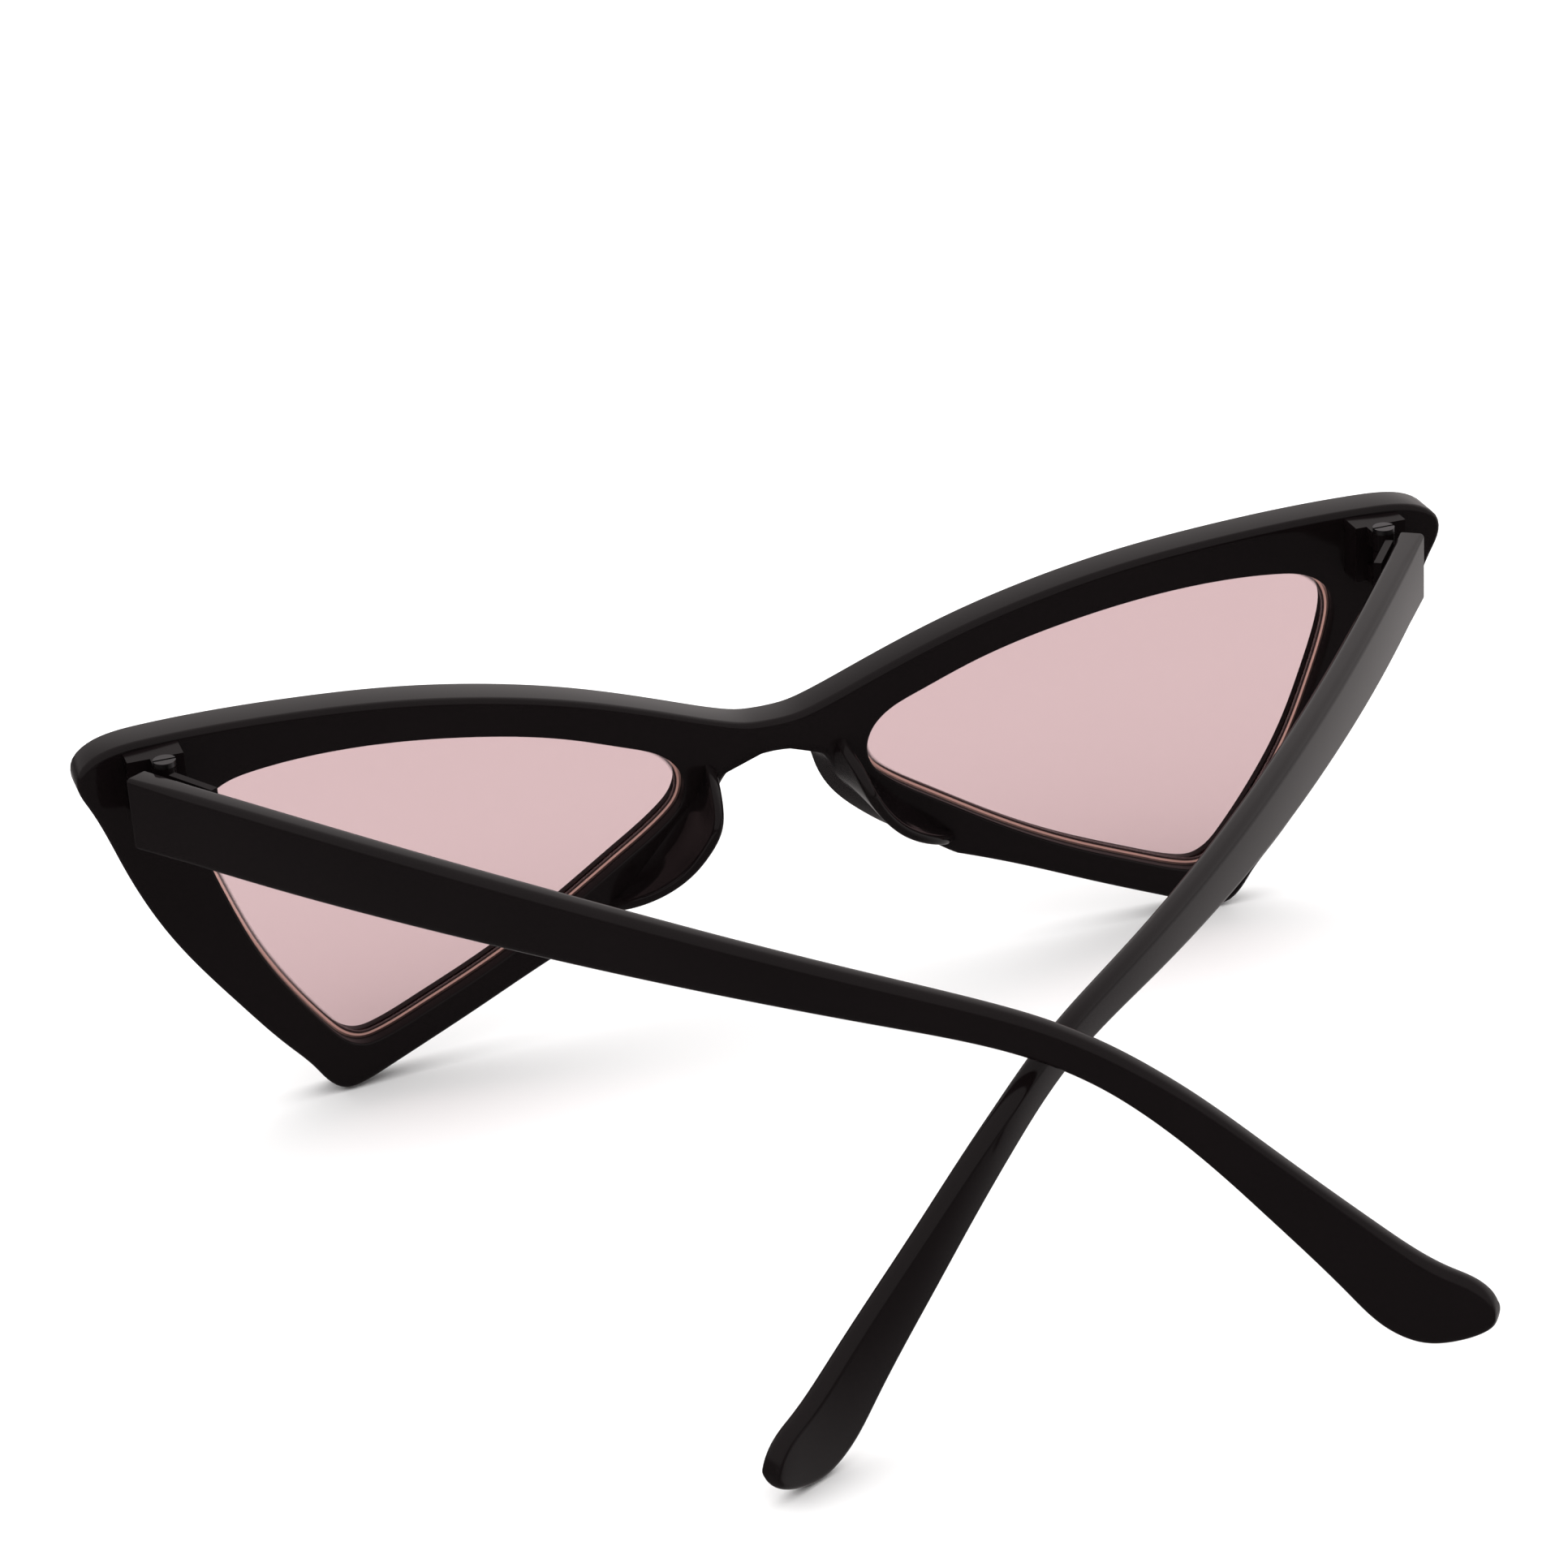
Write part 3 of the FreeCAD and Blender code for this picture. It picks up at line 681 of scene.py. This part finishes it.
class FrontSizes(bpy.types.PropertyGroup):
    """Sizes of the front and the places of its hinge pins"""
    wrap_radius: length("Wrap radius", "Radius of the front seen from above", 454.0)
    thickness: length("Thickness", "Thickness of the front", 4.5)
    edge_radius: length("Edge radius", "Rounding of the outer edges at the back", 0.75)
    front_radius: length("Front radius", "Rounding of the outer edges at the front", 0.4)
    opening_radius: length("Opening radius", "Rounding at the lens opening", 0.25)
    flank_slant: length("Flank slant", "Most that the nasal flank slants", 2.8)
    lens_inset: length("Lens inset", "From the back face to the lens", 2.0)
    lens_thickness: length("Lens thickness", "Thickness of a lens", 1.4)
    pad_foot: length("Pad foot", "Thickness of a nose pad's foot", 2.0)
    pad_edge: length("Pad edge", "Thickness of a nose pad's free edge", 1.2)
    pin_x: length("Pin sideways", "Hinge pin from the middle", 65.65)
    pin_y: length("Pin behind", "Hinge pin behind the bridge", 9.4)
    pin_z: length("Pin height", "Height on the pin where its joint is stated", 9.4)


class TempleSizes(bpy.types.PropertyGroup):
    """Sizes of the temples and how far they are folded"""
    thickness: length("Thickness", "Thickness at the hinge", 2.75)
    tip_thickness: length("Tip thickness", "Thickness at the tip", 2.0)
    front_round: length("Front rounding", "Edge rounding at the hinge", 0.45)
    edge_round: length("Edge rounding", "Edge rounding a little behind the hinge", 0.8)
    end_round: length("End rounding", "Rounding of the hinge end", 0.35)
    left_fold: angle("Left fold", "Left temple's fold from straight back", 31.7)
    right_fold: angle("Right fold", "Right temple's fold from straight back", 36.6)
    rise: angle("Rise", "Upward set of the left temple, and downward set of the right one", 1.1)


class Finish(bpy.types.PropertyGroup):
    """Colours and gloss"""
    plastic_colour: colour("Plastic", "Colour of the black plastic", (0.0039, 0.0027, 0.0029))
    plastic_ior: gloss("Plastic IOR", "Gloss of the front and temples", 1.47)
    hinge_ior: gloss("Hinge IOR", "Gloss of the hinge plastic", 1.22)
    lens_tint: colour("Lens tint", "Tint that each lens face adds", (0.712, 0.608, 0.614))
    lens_ior: gloss("Lens IOR", "Shine of the lens faces", 1.22)


# ------------------------------------------------------------------ operators
class SUNGLASSES_OT_front(bpy.types.Operator):
    """Build the moulded front with its nose pads"""
    bl_idname = "sunglasses.front"
    bl_label = "Front"

    def execute(self, context):
        half = front_half()
        pad = nose_pad()
        shells = half + [mirrored_shell(shell) for shell in half]
        plastic = black_plastic("polished black front", 0.085, context.scene.sunglasses_finish.plastic_ior)
        make_piece("front_shell", shells, standing(), plastic, "front", ["front_frame"])
        pads = [pad, mirrored_shell(pad)]
        make_piece("nose_pads", pads, standing(), plastic, "front", ["front_frame"])
        return {"FINISHED"}


class SUNGLASSES_OT_lenses(bpy.types.Operator):
    """Build the two pink lenses"""
    bl_idname = "sunglasses.lenses"
    bl_label = "Lenses"

    def execute(self, context):
        glass = pink_lens()
        for side_name, side in SIDES:
            pane = make_piece(f"lens_pane_{side_name}", [lens_shell(side)], standing(), glass, "front",
                              [f"lens_{side_name}"])
            mark_edge(pane, side)
        return {"FINISHED"}


class SUNGLASSES_OT_temples(bpy.types.Operator):
    """Build the two temples"""
    bl_idname = "sunglasses.temples"
    bl_label = "Temples"

    def execute(self, context):
        plastic = black_plastic("polished black temple", 0.11, context.scene.sunglasses_finish.plastic_ior)
        for side_name, side in SIDES:
            make_piece(f"temple_arm_{side_name}", [temple_shell(side)], standing() @ folded(side), plastic,
                       f"{side_name}_temple", [f"temple_{side_name}"])
        return {"FINISHED"}


class SUNGLASSES_OT_hinges(bpy.types.Operator):
    """Finish the hinge leaves and screws"""
    bl_idname = "sunglasses.hinges"
    bl_label = "Hinges"

    def execute(self, context):
        plastic = black_plastic("moulded hinge", 0.16, context.scene.sunglasses_finish.hinge_ior)
        steel = screw_steel()
        for side_name, _ in SIDES:
            for node in (f"hinge_leaf_front_{side_name}", f"hinge_leaf_temple_{side_name}"):
                set_material(frame["nodes"][node], plastic)
            set_material(frame["nodes"][f"hinge_screw_{side_name}"], steel)
        return {"FINISHED"}


def set_material(node, material):
    """Gives a CAD node this material only."""
    node.data.materials.clear()
    node.data.materials.append(material)


def area_light(name, place, target, size, strength):
    """A rectangular light of that size in metres and power in watts, aimed at target."""
    light = bpy.data.lights.new(name, "AREA")
    light.shape = "RECTANGLE"
    light.size, light.size_y = size
    light.energy = strength
    lamp = bpy.data.objects.new(name, light)
    lamp.location = place
    lamp.rotation_euler = (Vector(target) - Vector(place)).to_track_quat("-Z", "Y").to_euler()
    bpy.context.scene.collection.objects.link(lamp)
    return lamp


class SUNGLASSES_OT_stage(bpy.types.Operator):
    """Build the floor, the soft light and the camera"""
    bl_idname = "sunglasses.stage"
    bl_label = "Stage"

    def execute(self, context):
        half, box_height, box_side, watts = 4.0, 1.6, 5.0, 131.0
        mesh = bpy.data.meshes.new("floor")
        corners = [(-half, -half, 0), (half, -half, 0), (half, half, 0), (-half, half, 0)]
        mesh.from_pydata(corners, [], [(0, 1, 2, 3)])
        floor = bpy.data.objects.new("floor", mesh)
        context.scene.collection.objects.link(floor)
        material, tree = new_material("pale floor")
        finish(tree, tree.node("ShaderNodeBsdfPrincipled", None, {
            "Base Color": (0.9, 0.9, 0.9, 1.0), "Roughness": 1.0, "Specular IOR Level": 0.0}))
        mesh.materials.append(material)
        floor.visible_glossy = False
        softbox = area_light("overhead softbox", (0, 0, box_height), (0, 0, 0), (box_side, box_side), watts)
        softbox.visible_glossy = False
        context.scene.view_settings.view_transform = "Standard"
        self.surroundings()
        self.camera(context)
        return {"FINISHED"}

    def surroundings(self):
        """Soft room for light and reflections, which the camera itself sees as plain white.

        Its strength rises with the dot product of the direction and the one to the wearer's right and front,
        and a little more with height.
        """
        world = bpy.data.worlds.new("soft room")
        world.use_nodes = True
        bpy.context.scene.world = world
        tree = Tree(world.node_tree)
        ray = tree.node("ShaderNodeTexCoord", output="Generated")
        bright = Vector((-0.8, -0.6, 0.0)).normalized()
        level = tree.node("ShaderNodeVectorMath", {"operation": "DOT_PRODUCT"}, {0: ray, 1: bright}, 1)
        spread = tree.node("ShaderNodeMapRange", {"interpolation_type": "SMOOTHSTEP"}, {
            "Value": level, "From Min": 0.2, "From Max": 0.95, "To Min": 0.08, "To Max": 0.42})
        height = tree.node("ShaderNodeSeparateXYZ", None, {0: ray}, 2)
        upper = tree.node("ShaderNodeMapRange", {"interpolation_type": "SMOOTHSTEP"}, {
            "Value": height, "From Min": -0.05, "From Max": 0.2, "To Min": 0.0, "To Max": 0.19})
        room = tree.node("ShaderNodeBackground", None,
                         {"Color": (1.0, 0.94, 0.93, 1.0), "Strength": spread + upper})
        wall = tree.node("ShaderNodeBackground", None, {"Color": (1.0, 1.0, 1.0, 1.0), "Strength": 1.1})
        seen = tree.node("ShaderNodeLightPath")
        whole = tree.node("ShaderNodeMixShader", None, {0: seen, 1: room, 2: wall})
        finish(tree, whole, "ShaderNodeOutputWorld")

    def camera(self, context):
        """Long-lens camera behind the wearer's left shoulder, placed in the front's upright frame."""
        place = Vector((132.298, 438.243, 219.321))
        turn = Euler([math.radians(degrees) for degrees in (63.588, 3.210, 161.522)])
        whole = standing()
        matrix = whole @ Matrix.Scale(1 / MM, 4) @ turn.to_matrix().to_4x4()
        matrix.translation = whole @ place
        data = bpy.data.cameras.new("viewer")
        data.sensor_width = 36.0
        data.lens = 111.09
        data.clip_start = 0.01
        camera = bpy.data.objects.new("viewer", data)
        camera.matrix_world = matrix
        context.scene.collection.objects.link(camera)
        context.scene.camera = camera


class SUNGLASSES_PT_panel(bpy.types.Panel):
    """Sizes, finishes and building steps of the sunglasses"""
    bl_label = "Sunglasses"
    bl_idname = "SUNGLASSES_PT_panel"
    bl_space_type = "VIEW_3D"
    bl_region_type = "UI"
    bl_category = "Sunglasses"

    def draw(self, context):
        for group in (context.scene.sunglasses_front, context.scene.sunglasses_temples,
                      context.scene.sunglasses_finish):
            for name in group.bl_rna.properties.keys():
                if name not in ("rna_type", "name"):
                    self.layout.prop(group, name)
        for step in STEPS:
            self.layout.operator(step.bl_idname)


GROUPS = (("sunglasses_front", FrontSizes), ("sunglasses_temples", TempleSizes),
          ("sunglasses_finish", Finish))
STEPS = (SUNGLASSES_OT_front, SUNGLASSES_OT_lenses, SUNGLASSES_OT_temples, SUNGLASSES_OT_hinges,
         SUNGLASSES_OT_stage)


def register():
    for name, group in GROUPS:
        bpy.utils.register_class(group)
        setattr(bpy.types.Scene, name, bpy.props.PointerProperty(type=group))
    for kind in (*STEPS, SUNGLASSES_PT_panel):
        bpy.utils.register_class(kind)


def unregister():
    for kind in (SUNGLASSES_PT_panel, *reversed(STEPS)):
        bpy.utils.unregister_class(kind)
    for name, group in reversed(GROUPS):
        delattr(bpy.types.Scene, name)
        bpy.utils.unregister_class(group)


def main():
    register()
    bpy.ops.sunglasses.front()
    bpy.ops.sunglasses.lenses()
    bpy.ops.sunglasses.temples()
    bpy.ops.sunglasses.hinges()
    bpy.ops.sunglasses.stage()


if __name__ == "__main__":
    main()
